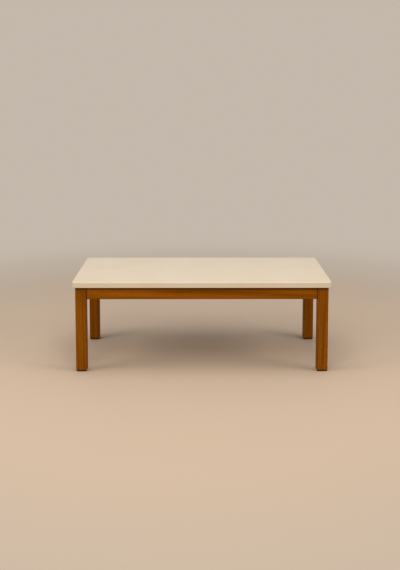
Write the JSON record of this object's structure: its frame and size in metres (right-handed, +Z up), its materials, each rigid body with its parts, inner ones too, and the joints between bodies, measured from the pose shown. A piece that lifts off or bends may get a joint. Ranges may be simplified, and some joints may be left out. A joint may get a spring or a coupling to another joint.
{
  "type": "coffee table",
  "caption": "Low rectangular coffee table: a cream lacquered top with rounded corners on a stained wooden frame of square legs and aprons, bolted at the corners.",
  "frame": {"origin": "on the floor, under the middle of the top", "axes": "+X along the length of the top, to the right seen from the front; +Y from the front to the rear; +Z up"},
  "size_m": [1.2, 0.6, 0.425],
  "materials": {
    "cream_lacquer": "satin cream lacquer on board",
    "stained_wood": "warm brown stain under a satin clear coat",
    "rail_wood": "planed, unfinished",
    "beech": "plain, unfinished",
    "zinc_steel": "bright zinc plated",
    "felt": "dense dark brown felt"
  },
  "bodies": {
    "root": {"tabletop": "cream_lacquer", "leg_front_left": "stained_wood", "leg_front_right": "stained_wood", "leg_rear_left": "stained_wood", "leg_rear_right": "stained_wood", "apron_front": "stained_wood", "apron_rear": "stained_wood", "apron_left": "stained_wood", "apron_right": "stained_wood", "cross_rail": "rail_wood", "foot_pad_front_left": "felt", "foot_pad_front_right": "felt", "foot_pad_rear_left": "felt", "foot_pad_rear_right": "felt", "dowel_front_left_a": "beech", "dowel_front_left_b": "beech", "dowel_front_right_a": "beech", "dowel_front_right_b": "beech", "dowel_rear_left_a": "beech", "dowel_rear_left_b": "beech", "dowel_rear_right_a": "beech", "dowel_rear_right_b": "beech", "corner_bracket_front_left": "zinc_steel", "corner_bracket_front_right": "zinc_steel", "corner_bracket_rear_left": "zinc_steel", "corner_bracket_rear_right": "zinc_steel", "hanger_bolt_front_left": "zinc_steel", "hanger_bolt_front_right": "zinc_steel", "hanger_bolt_rear_left": "zinc_steel", "hanger_bolt_rear_right": "zinc_steel", "washer_front_left": "zinc_steel", "washer_front_right": "zinc_steel", "washer_rear_left": "zinc_steel", "washer_rear_right": "zinc_steel", "wing_nut_front_left": "zinc_steel", "wing_nut_front_right": "zinc_steel", "wing_nut_rear_left": "zinc_steel", "wing_nut_rear_right": "zinc_steel", "bracket_screw_front_left_a": "zinc_steel", "bracket_screw_front_left_b": "zinc_steel", "bracket_screw_front_right_a": "zinc_steel", "bracket_screw_front_right_b": "zinc_steel", "bracket_screw_rear_left_a": "zinc_steel", "bracket_screw_rear_left_b": "zinc_steel", "bracket_screw_rear_right_a": "zinc_steel", "bracket_screw_rear_right_b": "zinc_steel", "top_clip_front_left": "zinc_steel", "top_clip_front_right": "zinc_steel", "top_clip_rear_left": "zinc_steel", "top_clip_rear_right": "zinc_steel", "top_clip_left_middle": "zinc_steel", "top_clip_right_middle": "zinc_steel", "clip_screw_front_left": "zinc_steel", "clip_screw_front_right": "zinc_steel", "clip_screw_rear_left": "zinc_steel", "clip_screw_rear_right": "zinc_steel", "clip_screw_left_middle": "zinc_steel", "clip_screw_right_middle": "zinc_steel", "rail_screw_front": "zinc_steel", "rail_screw_rear": "zinc_steel"}
  },
  "joints": []
}
